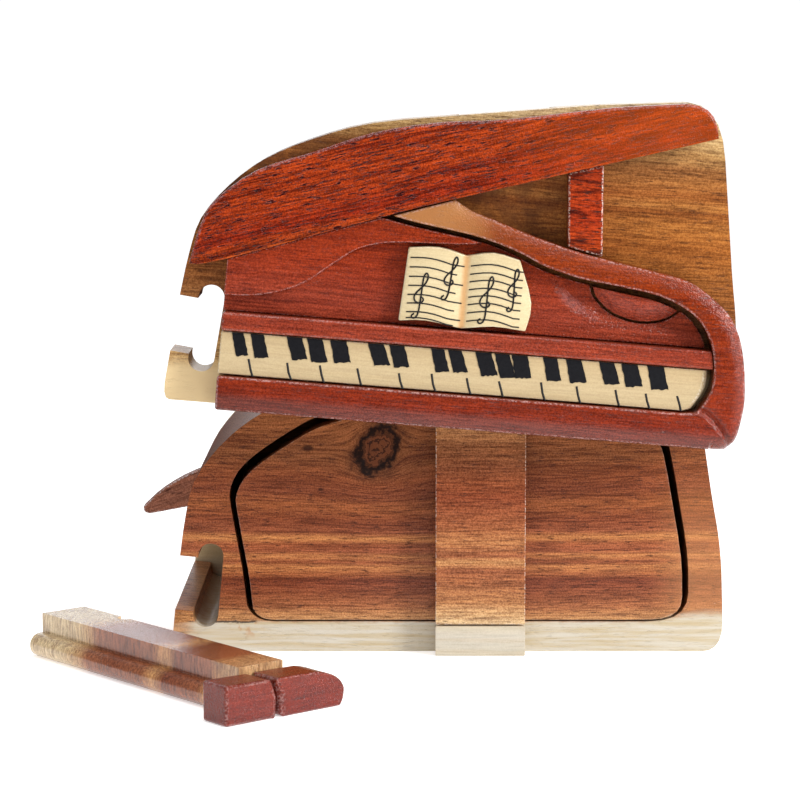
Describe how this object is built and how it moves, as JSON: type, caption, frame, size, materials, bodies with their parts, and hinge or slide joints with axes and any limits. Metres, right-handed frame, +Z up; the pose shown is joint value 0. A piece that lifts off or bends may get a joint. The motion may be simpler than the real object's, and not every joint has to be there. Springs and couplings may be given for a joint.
{
  "type": "wooden secret puzzle box",
  "caption": "Band-sawn wooden puzzle box shaped like a grand piano, with a cover that lifts on a dovetail rail, a hidden drawer and a T-shaped locking key bar.",
  "frame": {"origin": "middle of the box's flat base, between its front and back faces", "axes": "+X to the right along the keyboard, +Y from the piano front to the back panel, +Z up"},
  "size_m": [0.1936, 0.1733, 0.152],
  "materials": {
    "ring_brown": "gloss varnish",
    "sapwood": "gloss varnish",
    "rail_gold": "gloss varnish",
    "rail_cream": "gloss varnish",
    "tongue_brown": "gloss varnish",
    "drawer_brown": "gloss varnish",
    "tray_brown": "gloss varnish",
    "lid_red": "gloss varnish",
    "relief_red": "gloss varnish",
    "prop_red": "gloss varnish",
    "slab_gold": "gloss varnish",
    "board_cream": "gloss varnish",
    "key_honey": "gloss varnish",
    "head_red": "gloss varnish"
  },
  "bodies": {
    "box": {"box_ring": "ring_brown", "back_panel": "sapwood", "rail_top_stub": "rail_gold", "rail_bottom_stub": "rail_cream", "rear_tongue": "tongue_brown"},
    "drawer": {"drawer_front": "drawer_brown", "drawer_tray": "tray_brown", "drawer_back": "tray_brown", "drawer_rail": "rail_gold"},
    "cover": {"cover_slab": "slab_gold", "piano_lid": "lid_red", "lid_prop": "prop_red", "piano_rim": "relief_red", "fallboard": "relief_red", "desk_panel_upper": "relief_red", "desk_panel_lower": "relief_red", "desk_leaf": "relief_red", "music_book": "board_cream", "keyboard": "board_cream"},
    "key": {"key_bar": "key_honey", "key_head_lower": "head_red", "key_head_upper": "head_red"}
  },
  "joints": [
    {"name": "cover_lift", "type": "hinge", "parent": "box", "child": "cover", "pos_m": [0.836, 0, 0.04], "axis": [0, 1, 0], "range_deg": [-4.48, 1.4]},
    {"name": "drawer_slide", "type": "slide", "parent": "box", "child": "drawer", "axis": [0, -1, 0], "range_m": [0, 0.106]},
    {"name": "key_aside", "type": "slide", "parent": "box", "child": "key", "axis": [-1, 0, 0], "range_m": [0, 0.069]}
  ],
  "couplings": [
    {"joint": "key_aside", "follows": "drawer_slide", "ratio": 0.65}
  ]
}
